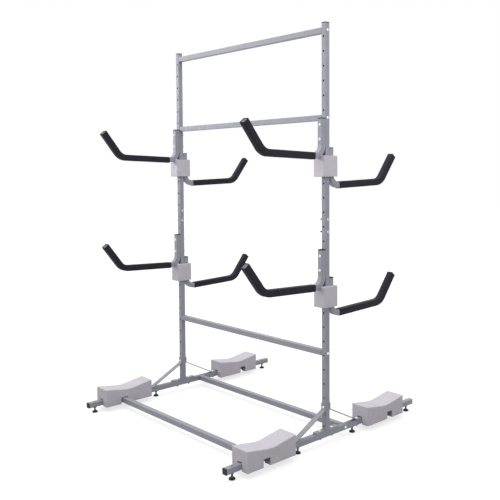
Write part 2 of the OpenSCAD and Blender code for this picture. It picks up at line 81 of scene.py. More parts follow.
def box_mm(node):
    """A node's lowest and highest corners in millimetres."""
    low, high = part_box(node)
    return np.array(low) / MM, np.array(high) / MM


post_low, post_high = box_mm("right_post")
post_x = (post_low[0] + post_high[0]) / 2
post_y = (post_low[1] + post_high[1]) / 2
base_low, base_high = box_mm("right_base_tube")
base_top = base_high[2]
base_axis = (base_low[2] + base_high[2]) / 2
print("post at", round(post_x, 2), round(post_y, 2), "base top at", round(base_top, 2))

# %% [markdown]
# ## Three small helpers
# Every finish and every Geometry Nodes tree is a set of nodes with links. One function adds
# a node: the terms go to its sockets in order or by name, and each is a number or another
# node's output. A second one does the same for a sum. A third one turns the sRGB hex colours
# that a person picks into the linear numbers that the renderer works with.

# %% Helpers for nodes and colours
def add(tree, kind, *terms, named=None, out=0, **settings):
    """Adds a node with its settings and links, and gives one of its outputs, or the node."""
    made = tree.nodes.new(kind)
    for key, value in settings.items():
        setattr(made, key, value)
    for socket, value in [*enumerate(terms), *(named or {}).items()]:
        if isinstance(value, bpy.types.NodeSocket):
            tree.links.new(value, made.inputs[socket])
        elif value is not None:
            made.inputs[socket].default_value = value
    return made if out is None else made.outputs[out]


def calc(tree, operation, *terms, **settings):
    """Adds a node that does one sum, and gives its result."""
    return add(tree, "ShaderNodeMath", *terms, operation=operation, **settings)


def linear(hex_colour):
    """Linear RGBA of an sRGB hex colour."""
    parts = [int(hex_colour[i : i + 2], 16) / 255 for i in (1, 3, 5)]
    return [p / 12.92 if p <= 0.04045 else ((p + 0.055) / 1.055) ** 2.4 for p in parts] + [1]


# %% [markdown]
# ## Finishes
# Each finish is built the same way: two close tones drift into each other over some
# centimetres, a fine grain at the real surface's scale stirs the roughness, and the same
# grain lifts the surface a little. What differs is what the eye knows each material by:
# the tones, the size of the grain, how far it stands up, and how the surface shines.
# The patterns read Object coordinates. Every finished piece has its place in its mesh, so
# these are real positions in metres and a pattern has the same scale on every piece. Small
# functions paint shade into the colour, in the places that powder or light hardly reach.

# %% Painted shade where powder or light hardly reach
# Painted shade: how dark the colour goes inside the tubes, at the post hole rims and deep in the
# foam notches
INSIDE_SHADE = 0.1
RIM_SHADE = 0.08
RIM_START, RIM_END = HOLE_R + 0.6, HOLE_R + 1.4
NOTCH_WIDTH, NOTCH_SHADE = 60.0, 0.12


def tube_inside_shade(tree, place, axis, middle):
    """1 outside a pair of tubes and nearly 0 inside them. This is painted shade, on steel that the
    powder doesn't reach.

    The tubes lie at post_x on both sides, and at middle (in mm) on the other axis.
    """
    axes = add(tree, "ShaderNodeSeparateXYZ", place, out=None).outputs
    inside_shades = []
    for reading, centre in ((calc(tree, "ABSOLUTE", axes[0]), post_x), (axes[axis], middle)):
        off = calc(tree, "SUBTRACT", reading, float(centre) * MM)
        off = calc(tree, "ABSOLUTE", off)
        within = calc(tree, "LESS_THAN", off, (TUBE / 2 - WALL + 0.5) * MM)
        inside_shades.append(add(tree, "ShaderNodeMapRange", within, 0.0, 1.0, 1.0, INSIDE_SHADE))
    return calc(tree, "MAXIMUM", *inside_shades)


def post_inside_shade(tree, place):
    """Painted shade: 1 outside the posts and nearly 0 inside them."""
    return tube_inside_shade(tree, place, 1, post_y)


def base_inside_shade(tree, place):
    """Painted shade: 1 outside the base tubes and nearly 0 inside them."""
    return tube_inside_shade(tree, place, 2, base_axis)


def hole_rim_shade(tree, place):
    """Painted shade: 1 on the walls of a post and nearly 0 at the drawn-in edges of its holes."""
    axes = add(tree, "ShaderNodeSeparateXYZ", place, out=None).outputs
    off = calc(tree, "ABSOLUTE", axes[0])
    off = calc(tree, "SUBTRACT", off, float(post_x) * MM)
    rise = calc(tree, "SUBTRACT", axes[2], FIRST_HOLE * MM)
    rise = calc(tree, "WRAP", rise, HOLE_PITCH / 2 * MM, -HOLE_PITCH / 2 * MM)
    spoke = add(tree, "ShaderNodeCombineXYZ", off, 0.0, rise)
    spoke = add(tree, "ShaderNodeVectorMath", spoke, operation="LENGTH", out="Value")
    return add(tree, "ShaderNodeMapRange", spoke, RIM_START * MM, RIM_END * MM, RIM_SHADE, 1.0)


def notches(tree, place):
    """Painted shade: 1 on the open faces of a block and little in its slots and notches."""
    sky = add(tree, "ShaderNodeAmbientOcclusion", named={"Distance": NOTCH_WIDTH * MM}, out="AO",
              samples=4, only_local=True)
    return add(tree, "ShaderNodeMapRange", sky, 0.35, 0.85, NOTCH_SHADE, 1.0)


# %% One builder for all finishes
def finish(name, tones, grain_mm, lift_mm, rough, drift_mm=60.0, pores=False,
           speck=(0.94, 1.04), shades=(), **shader):
    """A procedural finish. tones are two hex colours and rough is the range of roughness.

    speck is how much the grain changes the tone, and shades are functions from the cell
    above that paint shade into the colour, where powder or light hardly reach.
    """
    material = bpy.data.materials.new(name)
    material.use_nodes = True
    tree = material.node_tree
    tree.nodes.clear()
    place = add(tree, "ShaderNodeTexCoord", out="Object")
    drift = add(tree, "ShaderNodeTexNoise", place, named={"Scale": 1000 / drift_mm, "Detail": 3.0})
    if pores:
        grain = add(tree, "ShaderNodeTexVoronoi", place, named={"Scale": 1000 / grain_mm},
                    feature="SMOOTH_F1")
    else:
        grain = add(tree, "ShaderNodeTexNoise", place,
                    named={"Scale": 1000 / grain_mm, "Detail": 2.0})
    # Noise seldom leaves the middle of its range, so only that part is spread out
    spread = add(tree, "ShaderNodeMapRange", drift, 0.35, 0.65, 0.0, 1.0)
    tone = add(tree, "ShaderNodeMix", named={0: spread, 6: linear(tones[0]), 7: linear(tones[1])},
               data_type="RGBA", out=2)
    fleck_and_shade = add(tree, "ShaderNodeMapRange", grain, 0.2, 0.8, *speck)
    # Painted shade: each shade darkens the colour wherever it falls below 1
    for shade in shades:
        fleck_and_shade = calc(tree, "MULTIPLY", fleck_and_shade, shade(tree, place))
    colour = add(tree, "ShaderNodeVectorMath", tone, named={"Scale": fleck_and_shade}, operation="SCALE")
    dull = add(tree, "ShaderNodeMapRange", grain, 0.2, 0.8, *rough)
    bump = add(tree, "ShaderNodeBump", named={"Height": grain, "Distance": lift_mm * MM,
                                              "Strength": 1.0})
    surface = add(tree, "ShaderNodeBsdfPrincipled",
                  named={"Base Color": colour, "Roughness": dull, "Normal": bump, **shader})
    add(tree, "ShaderNodeOutputMaterial", surface, out=None)
    return material


# %% Powder coated steel
# A silver grey polyester powder, sprayed and baked. It levels into a faint orange peel, which
# breaks up the reflections along the tubes into a soft satin shine. The powder doesn't reach
# inside the tubes, and painted shade there makes their holes look nearly black. The post holes
# are punched, which draws their edges in by about a millimetre, and painted shade makes that
# a dark rim.
POWDER = ("#a2a2ae", "#9c9ca7"), 1.6, 0.012, (0.36, 0.46)
POWDER_SHEEN = {"speck": (0.99, 1.005), "IOR": 1.55}
powder_coat = finish("powder_coated_steel", *POWDER, **POWDER_SHEEN)
post_coat = finish("powder_coated_post", *POWDER, shades=(post_inside_shade, hole_rim_shade),
                   **POWDER_SHEEN)
base_coat = finish("powder_coated_base", *POWDER, shades=(base_inside_shade,), **POWDER_SHEEN)

# %% Black sleeve foam
# Closed cell rubber foam, drawn as a tube with a skin. The skin is matt and full of fine
# pores, so it is nearly black with a soft grey bloom where light grazes it.
sleeve_foam = finish("extruded_nitrile_foam", ("#272630", "#2e2d37"), 1.4, 0.10, (0.55, 0.72),
                     pores=True, **{"Specular IOR Level": 0.2, "IOR": 1.4,
                                    "Sheen Weight": 0.06, "Sheen Roughness": 0.35})

# %% Pale block foam
# Moulded polyethylene foam, cut from a block. Its cells are a few millimetres across and
# show as a low mottle. Little light gets into its slots and notches, so painted shade makes
# the colour darker wherever the block's own walls close in on a point.
block_foam = finish("moulded_polyethylene_foam", ("#dad6df", "#d4d0d9"), 3.2, 0.10,
                    (0.72, 0.88), drift_mm=45.0, pores=True, shades=(notches,),
                    **{"Sheen Weight": 0.05, "IOR": 1.45})

# %% Zinc plated fasteners
# Rolled and plated steel. The plating is bright and slightly uneven, so the highlights on
# the domed heads stay small and hard. The nuts and studs have the same plating, and their
# duller, darker tone is painted shade, as most of them sit under and behind the tubes. The
# bolts across the posts are of a third kind, between the two.
zinc_plate = finish("zinc_plated_steel", ("#ededf1", "#e2e2e8"), 0.8, 0.005, (0.20, 0.30),
                    drift_mm=8.0, **{"Metallic": 1.0})
nut_plate = finish("zinc_plated_nuts", ("#77777e", "#6a6a71"), 0.8, 0.01, (0.34, 0.48),
                   drift_mm=8.0, **{"Metallic": 0.9})
dull_zinc = finish("dull_zinc_plated_steel", ("#c8c8d0", "#bebec6"), 0.8, 0.008, (0.42, 0.54),
                   drift_mm=8.0, **{"Metallic": 1.0})

# %% Foot nuts in painted shade
# Steel nuts under the base. Their near-black tone is painted shade, for the shade under the tube.
foot_nut_steel = finish("steel_nut_painted_shade", ("#323136", "#2b2a2f"), 0.6, 0.01, (0.32, 0.45),
                     drift_mm=10.0, **{"Metallic": 0.8})

# %% Moulded plastic
# The caps are injection moulded polyethylene in a spark eroded mould, which leaves a fine
# even grain and a dull shine.
cap_plastic = finish("moulded_polyethylene", ("#1d1c21", "#19181c"), 0.7, 0.03, (0.55, 0.68),
                     **{"IOR": 1.45})
plug_plastic = finish("moulded_polyethylene_pale", ("#7c7b84", "#75747c"), 0.7, 0.03,
                      (0.55, 0.68), **{"IOR": 1.45})

# %% Foot rubber
# Compression moulded rubber, filled with carbon black. It is nearly black and dull.
foot_rubber = finish("moulded_rubber", ("#1e1d21", "#232227"), 0.9, 0.05, (0.6, 0.75),
                     **{"IOR": 1.52})
print("finishes:", len(bpy.data.materials))

# %% [markdown]
# ## Dress the steel and the plugs
# The tubes, straps and plates have their true shapes in the CAD model, with walls, bends and
# holes, so they stay and only take a better finish. So do the plugs in the tips.

# %% Finishes on the frame
def dress(node, material):
    """Puts one finish in every material slot of a CAD node."""
    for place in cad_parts[node].material_slots:
        place.material = material


FOAM_WORDS = ("sleeve", "bumper", "saddle")
MADE_HERE = ("pad", "stud", "bolts", "foot_nuts", "caps")
steel_nodes = [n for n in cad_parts
               if not any(w in n for w in FOAM_WORDS + MADE_HERE + ("plug",))]
hollow = {"_post": post_coat, "_base_tube": base_coat}
for name in steel_nodes:
    dress(name, next((hollow[w] for w in hollow if name.endswith(w)), powder_coat))
dress("tip_plugs", plug_plastic)
print("steel nodes:", len(steel_nodes))

# %% [markdown]
# ## Growing pieces with Geometry Nodes
# Nuts, bolts, threads and welds repeat all over the rack, and a sleeve follows a path. Their
# shapes are rules, so they are made by Geometry Nodes trees with named inputs for the sizes.
# A tree is run on a mesh of points or edges, and its result is kept as a plain mesh, which
# is what the exported model needs.

# %% Trees and plain meshes
SOCKETS = {float: "NodeSocketFloat", int: "NodeSocketInt",
           bpy.types.Material: "NodeSocketMaterial"}


def new_tree(name, **sizes):
    """An empty tree with a socket for each size. Gives the tree and its input node."""
    tree = bpy.data.node_groups.new(name, "GeometryNodeTree")
    for side in ("INPUT", "OUTPUT"):
        tree.interface.new_socket(name="Geometry", in_out=side, socket_type="NodeSocketGeometry")
    for label, value in {**sizes, "Material": powder_coat}.items():
        made = tree.interface.new_socket(name=label, in_out="INPUT",
                                         socket_type=SOCKETS[type(value)])
        if not isinstance(value, bpy.types.Material):
            made.default_value = value
    return tree, add(tree, "NodeGroupInput", out=None).outputs


def join(tree, parts):
    """One geometry made of several."""
    both = add(tree, "GeometryNodeJoinGeometry", out=None)
    for part in parts:
        tree.links.new(part, both.inputs[0])
    return both.outputs[0]


def coated(tree, geometry, coat):
    """A real mesh in place of instances, without doubled points, in its finish."""
    real = add(tree, "GeometryNodeRealizeInstances", geometry)
    merged = add(tree, "GeometryNodeMergeByDistance", real, named={"Distance": 0.01 * MM})
    return add(tree, "GeometryNodeSetMaterial", merged, named={"Material": coat})


def close_tree(tree, geometry, given):
    """Ends a tree that makes pieces of one finish."""
    add(tree, "NodeGroupOutput", coated(tree, geometry, given["Material"]), out=None)


def grow(name, tree, material, points, edges=(), attributes=None, **sizes):
    """Runs a tree on points (in millimetres) and gives the result as a plain object."""
    seed = bpy.data.meshes.new(name + "_seed")
    seed.from_pydata([Vector(p) * MM for p in points], edges, [])
    for label, values in (attributes or {}).items():
        vector = np.ndim(values) == 2
        made = seed.attributes.new(label, "FLOAT_VECTOR" if vector else "FLOAT", "POINT")
        made.data.foreach_set("vector" if vector else "value", np.ravel(values))
    holder = bpy.data.objects.new(name, seed)
    bpy.context.scene.collection.objects.link(holder)
    growth = holder.modifiers.new("growth", "NODES")
    growth.node_group = tree
    for item in tree.interface.items_tree:
        if item.in_out == "INPUT" and item.name in {**sizes, "Material": 0}:
            growth[item.identifier] = {**sizes, "Material": material}[item.name]
    bpy.context.view_layer.update()
    ready = holder.evaluated_get(bpy.context.evaluated_depsgraph_get())
    mesh = bpy.data.meshes.new_from_object(ready)
    holder.modifiers.clear()
    holder.data = mesh
    mesh.name = name
    if not mesh.materials:
        mesh.materials.append(material)
    return holder


def smooth(piece, angle=35.0):
    """Smooth shading, kept sharp at edges that turn by more than the angle."""
    piece.data.shade_smooth()
    piece.data.set_sharp_from_angle(angle=math.radians(angle))


def triangles(piece):
    """How many triangles a piece comes to."""
    return sum(len(face.vertices) - 2 for face in piece.data.polygons)


# %% [markdown]
# ## Turned forms and threads
# A bolt head, a nut and a collar are all a profile turned about an axis. The tree starts
# from a plain tube with one ring of points for each corner of the profile, and moves every
# ring to its radius and height. A thread is the same tube with many rings, drawn in by an
# amount that climbs one pitch in each turn, so the ridge is a true helix.

# %% Profiles and threads in nodes
def turned(tree, profile, around):
    """Turns (radius, height) pairs about Z, from the underside outwards and up."""
    rings = len(profile)
    tube = add(tree, "GeometryNodeMeshCylinder", around, rings - 1, 1, 1.0, 1.0, fill_type="NONE")
    place = add(tree, "ShaderNodeSeparateXYZ", add(tree, "GeometryNodeInputPosition"), out=None)
    height = calc(tree, "ADD", place.outputs[2], 0.5)
    ring = calc(tree, "MULTIPLY", height, rings - 1.0)
    ring = calc(tree, "ROUND", ring)
    picked = []
    for column in (0, 1):
        pick = add(tree, "GeometryNodeIndexSwitch", ring, data_type="FLOAT", out=None)
        while len(pick.index_switch_items) < rings:
            pick.index_switch_items.new()
        for number, corner in enumerate(profile):
            socket = pick.inputs[number + 1]
            if isinstance(corner[column], bpy.types.NodeSocket):
                tree.links.new(corner[column], socket)
            else:
                socket.default_value = corner[column]
        picked.append(pick.outputs[0])
    x, y = (calc(tree, "MULTIPLY", place.outputs[i], picked[0]) for i in (0, 1))
    moved = add(tree, "ShaderNodeCombineXYZ", x, y, picked[1])
    return add(tree, "GeometryNodeSetPosition", tube, named={"Position": moved})


def threaded(tree, diameter, pitch, length, around=20, steps=6.0):
    """A threaded length that stands on Z = 0, with a true helical ridge."""
    turns = calc(tree, "DIVIDE", length, pitch)
    rings = calc(tree, "MULTIPLY", turns, steps)
    radius = calc(tree, "MULTIPLY", diameter, 0.5)
    rod = add(tree, "GeometryNodeMeshCylinder", around, rings, 1, radius, length)
    half = calc(tree, "MULTIPLY", length, 0.5)
    rod = add(tree, "GeometryNodeTransform", rod,
              named={"Translation": add(tree, "ShaderNodeCombineXYZ", 0.0, 0.0, half)})
    here = add(tree, "GeometryNodeInputPosition")
    place = add(tree, "ShaderNodeSeparateXYZ", here, out=None)
    angle = calc(tree, "ARCTAN2", place.outputs[1], place.outputs[0])
    turn = calc(tree, "DIVIDE", angle, 2 * math.pi)
    climb = calc(tree, "DIVIDE", place.outputs[2], pitch)
    phase = calc(tree, "SUBTRACT", climb, turn)
    ridge = calc(tree, "PINGPONG", phase, 0.5)
    # The ridge of a metric thread is about 0.6 of its pitch deep, over a half pitch here
    depth = calc(tree, "MULTIPLY", pitch, 1.2)
    depth = calc(tree, "DIVIDE", depth, radius)
    inward = calc(tree, "MULTIPLY", ridge, depth)
    inward = calc(tree, "MULTIPLY", inward, -1.0)
    level = add(tree, "ShaderNodeVectorMath", here, (1, 1, 0), operation="MULTIPLY")
    shift = add(tree, "ShaderNodeVectorMath", level, named={"Scale": inward}, operation="SCALE")
    return add(tree, "GeometryNodeSetPosition", rod, named={"Offset": shift})


def hex_nut(tree, width, height, bore):
    """A hexagon with chamfered corners and a bore, standing on Z = 0."""
    place = add(tree, "ShaderNodeSeparateXYZ", add(tree, "GeometryNodeInputPosition"), out=None)
    angle = calc(tree, "ARCTAN2", place.outputs[1], place.outputs[0])
    sector = calc(tree, "FLOORED_MODULO", angle, math.pi / 3)
    sector = calc(tree, "SUBTRACT", sector, math.pi / 6)
    spread = calc(tree, "COSINE", sector)
    half = calc(tree, "MULTIPLY", width, 0.5)
    flat = calc(tree, "DIVIDE", half, spread)
    face = calc(tree, "MULTIPLY", half, 0.95)
    proud = calc(tree, "SUBTRACT", flat, face)
    chamfer = calc(tree, "MULTIPLY", proud, math.tan(math.radians(30)))
    upper = calc(tree, "SUBTRACT", height, chamfer)
    inner = calc(tree, "MULTIPLY", bore, 0.5)
    return turned(tree, [(inner, 0.0), (face, 0.0), (flat, chamfer), (flat, upper),
                         (face, height), (inner, height), (inner, 0.0)], 36)


# %% [markdown]
# ## Bolts
# Sixteen bolts hold the arms, ten screws hold the cross bars, and the rest hold the post
# plates and braces. The heads are low domes and the nuts are plain hexagons with a few
# turns of thread past them. Each bolt is one point with three facts: the way its head faces,
# the thickness that it clamps, and whether it has a nut. The tree puts a head and a shank at
# every point, adds a nut and a threaded end where there is a nut, and turns them to face
# that way.

# %% The bolt tree
tree, given = new_tree("bolt_set", **{
    "Bolt Diameter": 8.0 * MM, "Head Diameter": 15.0 * MM, "Head Height": 4.5 * MM,
    "Nut Width": 13.0 * MM, "Nut Height": 6.5 * MM, "Tail": 3.0 * MM, "Pitch": 1.25 * MM,
    "Nut Material": nut_plate})
bolt_tree = tree
facing = add(tree, "GeometryNodeInputNamedAttribute", "facing", data_type="FLOAT_VECTOR")
grip = add(tree, "GeometryNodeInputNamedAttribute", "grip", data_type="FLOAT")
nutted = add(tree, "GeometryNodeInputNamedAttribute", "nutted", data_type="FLOAT")
turn_to = add(tree, "FunctionNodeAlignRotationToVector", named={"Vector": facing}, axis="Z")
head_r = calc(tree, "MULTIPLY", given["Head Diameter"], 0.5)
head_corners = []
# Rim, then the dome from its foot to its crown, as shares of the radius and the height
for share, rise in ((0, 0), (0.94, 0), (1, 0.06), (1, 0.2), (0.93, 0.36), (0.8, 0.58),
                    (0.6, 0.79), (0.35, 0.94), (0.15, 0.99), (0, 1)):
    head_corners.append((calc(tree, "MULTIPLY", head_r, float(share)),
                         calc(tree, "MULTIPLY", given["Head Height"], float(rise))))
head = turned(tree, head_corners, 28)
shank_r = calc(tree, "MULTIPLY", given["Bolt Diameter"], 0.5)
shank = turned(tree, [(0.0, -1.0), (shank_r, -1.0), (shank_r, 0.0), (0.0, 0.0)], 16)
nut = hex_nut(tree, given["Nut Width"], given["Nut Height"], given["Bolt Diameter"])
end_length = calc(tree, "ADD", given["Nut Height"], given["Tail"])
end = threaded(tree, given["Bolt Diameter"], given["Pitch"], end_length, around=16)
parts = []
for form, reach in ((head, None), (shank, None), (nut, given["Nut Height"]), (end, end_length)):
    points = given["Geometry"]
    if reach is not None:
        back = calc(tree, "ADD", grip, reach)
        back = calc(tree, "MULTIPLY", back, -1.0)
        offset = add(tree, "ShaderNodeVectorMath", facing, named={"Scale": back},
                     operation="SCALE")
        points = add(tree, "GeometryNodeSetPosition", points, named={"Offset": offset})
    placed = {"Instance": form, "Rotation": turn_to}
    if form is shank:
        placed["Scale"] = add(tree, "ShaderNodeCombineXYZ", 1.0, 1.0, grip)
    if reach is not None:
        placed["Selection"] = nutted
    parts.append(add(tree, "GeometryNodeInstanceOnPoints", points, named=placed))
bright = coated(tree, join(tree, parts[:2]), given["Material"])
dull = coated(tree, join(tree, parts[2:]), given["Nut Material"])
add(tree, "NodeGroupOutput", join(tree, (bright, dull)), out=None)

# %% Where the bolts go
PLATE_BOLT, BRACE_BOLT = 45.0, 250.0  # along a base tube, from the middle of the post
BRACE_END = 22.0  # from the top of a front brace down to its bolt


def fasten(bolts, x, y, z, facing, grip, nutted=True):
    """Adds a bolt: the middle of its bearing face, the way its head faces, what it clamps."""
    bolts.append(((x, y, z), facing, grip * MM, float(nutted)))


def grow_bolts(name, bolts, plating, **sizes):
    """Grows a list of bolts as one piece that stays with the rack."""
    places, facing, grip, nutted = zip(*bolts)
    piece = grow(name, bolt_tree, plating, places,
                 attributes={"facing": facing, "grip": grip, "nutted": nutted},
                 **{"Nut Material": nut_plate, **sizes})
    smooth(piece)
    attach(piece, "rack")
    print(name, len(bolts), "bolts,", triangles(piece), "triangles")
    return piece


frame_list = []
for arm, sx, sy in ARMS:
    leg_top = box_mm(arm + "_arm")[1][2]
    for number in (0, 1):
        fasten(frame_list, sx * post_x, post_y + sy * 1.5 * TUBE,
               leg_top - LEG_OVER - number * HOLE_PITCH, (0, sy, 0), 2 * TUBE)
for side, sx in SIDES.items():
    px = sx * post_x
    for bar in ("top_bar", "middle_bar", "lower_bar", "front_base_bar", "rear_base_bar"):
        low, high = box_mm(bar)
        fasten(frame_list, px + sx * TUBE / 2, (low[1] + high[1]) / 2, (low[2] + high[2]) / 2,
               (sx, 0, 0), TUBE + END_PLATE, nutted=False)
    for sy in FACES.values():
        fasten(frame_list, px, post_y + sy * PLATE_BOLT, base_top + PLATE_T, (0, 0, 1),
               TUBE + PLATE_T)
        fasten(frame_list, px, post_y + sy * BRACE_BOLT, base_top + BRACE_T, (0, 0, 1),
               TUBE + BRACE_T)
    brace_high = box_mm(f"{side}_front_brace")[1][2]
    fasten(frame_list, px, post_y - TUBE / 2 - BRACE_T, brace_high - BRACE_END, (0, -1, 0),
           TUBE + 2 * BRACE_T)
frame_bolts = grow_bolts("frame_bolts", frame_list, zinc_plate)
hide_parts("bolts")

# %% Bolts across the posts
# Halfway up, two bolts cross each post from side to side. They are longer than they need to
# be, so the thread stands well out of the nut on the left.
CROSS_HEIGHTS = (1113.0, 1178.0)
CROSS_TAIL = 13.0
cross_list = []
for sx in SIDES.values():
    for z in CROSS_HEIGHTS:
        fasten(cross_list, sx * post_x + TUBE / 2, post_y, z, (1, 0, 0), TUBE)
grow_bolts("post_cross_bolts", cross_list, dull_zinc, Tail=CROSS_TAIL * MM)

# %% [markdown]
# ## Caps
# Fourteen black caps close the tops of the posts and arm legs and the ends of the base tubes.
# From a few metres away a cap is one dark line over pale steel, so its lip matters most: it
# is as wide as the tube, five millimetres thick, flat on top and only just rounded at its rim.

# %% The cap tree
tree, given = new_tree("tube_cap", **{"Width": TUBE * MM, "Corner Radius": 3.0 * MM,
                                      "Lip": 5.0 * MM, "Rim": 0.6 * MM})
outline = add(tree, "GeometryNodeCurvePrimitiveQuadrilateral", given["Width"], given["Width"],
              mode="RECTANGLE")
outline = add(tree, "GeometryNodeFilletCurve", outline,
              named={"Count": 5, "Radius": given["Corner Radius"]}, mode="POLY")
sheet = add(tree, "GeometryNodeFillCurve", outline, mode="NGONS")
straight = calc(tree, "SUBTRACT", given["Lip"], given["Rim"])
wall = add(tree, "GeometryNodeExtrudeMesh", sheet, named={"Offset Scale": straight}, out=None)
rim = add(tree, "GeometryNodeExtrudeMesh", wall.outputs["Mesh"],
          named={"Selection": wall.outputs["Top"], "Offset Scale": given["Rim"]}, out=None)
drawn_in = calc(tree, "DIVIDE", given["Rim"], given["Width"])
drawn_in = calc(tree, "MULTIPLY", drawn_in, -2.0)
level = add(tree, "ShaderNodeVectorMath", add(tree, "GeometryNodeInputPosition"), (1, 1, 0),
            operation="MULTIPLY")
level = add(tree, "ShaderNodeVectorMath", level, named={"Scale": drawn_in}, operation="SCALE")
lip = add(tree, "GeometryNodeSetPosition", rim.outputs["Mesh"],
          named={"Selection": rim.outputs["Top"], "Offset": level})
under = add(tree, "GeometryNodeFlipFaces", sheet)
facing = add(tree, "GeometryNodeInputNamedAttribute", "facing", data_type="FLOAT_VECTOR")
turn_to = add(tree, "FunctionNodeAlignRotationToVector", named={"Vector": facing}, axis="Z")
close_tree(tree, add(tree, "GeometryNodeInstanceOnPoints", given["Geometry"],
                     named={"Instance": join(tree, (lip, under)), "Rotation": turn_to}), given)

# %% Where the caps go
caps = [((sx * post_x, post_y, post_high[2]), (0, 0, 1)) for sx in SIDES.values()]
caps += [((sx * post_x, edge, base_axis), (0, sy, 0)) for sx in SIDES.values()
         for edge, sy in ((base_low[1], -1), (base_high[1], 1))]
caps += [((sx * post_x, post_y + sy * TUBE, box_mm(arm + "_arm")[1][2]), (0, 0, 1))
         for arm, sx, sy in ARMS]
tube_caps = grow("tube_caps", tree, cap_plastic, [c[0] for c in caps],
                 attributes={"facing": [c[1] for c in caps]})
smooth(tube_caps)
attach(tube_caps, "rack")
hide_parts("end_caps")
print("caps:", len(caps), "triangles:", triangles(tube_caps))

# %% [markdown]
# ## Levelling feet
# Each foot is a rubber pad, a plated stud with a collar, and a steel nut that is fixed under
# the tube and coloured near-black as painted shade. The stud and the pad move with their own
# bodies, so each is a piece of its own, while the eight nuts stay with the rack and make one
# piece. The pad's rim has finger notches, and its underside is dished so that it stands on its
# edge and grips.

# %% Nuts under the base
FOOT_NUT_HEIGHT = 7.0
tree, given = new_tree("foot_nut_set", **{
    "Nut Width": 17.0 * MM, "Nut Height": FOOT_NUT_HEIGHT * MM, "Bore": 10.2 * MM})
form = hex_nut(tree, given["Nut Width"], given["Nut Height"], given["Bore"])
close_tree(tree, add(tree, "GeometryNodeInstanceOnPoints", given["Geometry"],
                     named={"Instance": form}), given)
FEET = [f"{side}_{{}}_{number}" for side in SIDES for number in (1, 2, 3, 4)]


def foot_middle(foot):
    """X and Y of a foot's axis in millimetres."""
    low, high = box_mm(foot.format("stud"))
    return (low[0] + high[0]) / 2, (low[1] + high[1]) / 2


nuts = grow("levelling_nuts", tree, foot_nut_steel,
            [(*foot_middle(foot), base_low[2] - FOOT_NUT_HEIGHT) for foot in FEET])
smooth(nuts, 25)
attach(nuts, "rack")
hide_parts("foot_nuts")

# %% Studs
SEAT = 10.06  # the height where the collar sits on the pad
COLLAR_H = 3.0
CHAMFER = 0.5
stud_low, stud_high = box_mm("right_stud_1")
tree, given = new_tree("levelling_stud", **{
    "Stud Diameter": 10.0 * MM, "Pitch": 1.5 * MM, "Collar Diameter": 16.0 * MM,
    "Thread Length": float(stud_high[2] - SEAT - COLLAR_H) * MM})
stud_r = calc(tree, "MULTIPLY", given["Stud Diameter"], 0.5)
collar_r = calc(tree, "MULTIPLY", given["Collar Diameter"], 0.5)
worn_r = calc(tree, "SUBTRACT", collar_r, CHAMFER * MM)
low_z, seat_z, top_z = stud_low[2] * MM, SEAT * MM, (SEAT + COLLAR_H) * MM
chamfer = CHAMFER * MM
foot_of_stud = turned(tree, [(0.0, low_z), (stud_r, low_z), (stud_r, seat_z), (worn_r, seat_z),
                             (collar_r, seat_z + chamfer), (collar_r, top_z - chamfer),
                             (worn_r, top_z), (0.0, top_z)], 36)
thread = threaded(tree, given["Stud Diameter"], given["Pitch"], given["Thread Length"])
thread = add(tree, "GeometryNodeTransform", thread, named={"Translation": (0, 0, top_z)})
close_tree(tree, add(tree, "GeometryNodeInstanceOnPoints", given["Geometry"],
                     named={"Instance": join(tree, (foot_of_stud, thread))}), given)
for foot in FEET:
    stud = grow(foot.format("threaded_stud"), tree, nut_plate, [(*foot_middle(foot), 0.0)])
    smooth(stud)
    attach(stud, foot.format("stud") + "_body")
    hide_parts(foot.format("stud"))
print("stud triangles:", triangles(stud))

# %% Pads
PAD_PROFILE = ((4.0, 1.2), (11.0, 1.2), (12.5, 0.0), (15.2, 0.0), (16.0, 0.8), (16.0, 5.0),
               (15.6, 6.4), (14.6, 7.5), (13.0, 8.0), (9.0, 8.0), (9.0, 9.4), (8.4, 10.0),
               (5.1, 10.0), (5.1, 3.0), (0.0, 3.0))
FINGER_NOTCHES = {"count": 12, "depth": 0.7, "beyond": 13.5}


def lathe(name, profile, around, fingers):
    """Turns a profile (mm) into a closed mesh. The rings beyond a radius get notches."""
    shape = bmesh.new()
    rings = []
    for r, z in profile:
        ring = []
        for step in range(around):
            a = 2 * math.pi * step / around
            reach = r
            if r > fingers["beyond"]:
                beat = max(0.0, math.cos(fingers["count"] * a))
                reach -= fingers["depth"] * beat ** 4
            ring.append(shape.verts.new((reach * math.cos(a) * MM, reach * math.sin(a) * MM,
                                         z * MM)))
        rings.append(ring)
    for lower, upper in zip(rings, rings[1:]):
        for i in range(around):
            j = (i + 1) % around
            shape.faces.new((lower[i], lower[j], upper[j], upper[i]))
    bmesh.ops.holes_fill(shape, edges=[e for e in shape.edges if e.is_boundary], sides=0)
    bmesh.ops.remove_doubles(shape, verts=shape.verts, dist=0.001 * MM)
    bmesh.ops.recalc_face_normals(shape, faces=shape.faces)
    mesh = bpy.data.meshes.new(name)
    shape.to_mesh(mesh)
    shape.free()
    return mesh


for foot in FEET:
    name = foot.format("rubber_pad")
    mesh = lathe(name, PAD_PROFILE, 96, FINGER_NOTCHES)
    x, y = foot_middle(foot)
    mesh.transform(Matrix.Translation((x * MM, y * MM, 0)))
    mesh.materials.append(foot_rubber)
    pad = bpy.data.objects.new(name, mesh)
    bpy.context.scene.collection.objects.link(pad)
    smooth(pad)
    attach(pad, foot.format("pad") + "_body")
    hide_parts(foot.format("pad"))
print("feet:", len(FEET))

# %% [markdown]
# ## Foam sleeves
# A sleeve is a length of square foam tube pushed over the arm, round its elbow and up its
# tip. It follows a path, so the tree sweeps a square with round corners along it. The sweep
# gives the outer skin only. Solidify then gives the wall inwards, and a small bevel rounds
# the lips at both ends, as a cut foam edge is never sharp. The elbow squeezes the foam on
# the inside of the bend, so the skin there is given a few shallow creases.

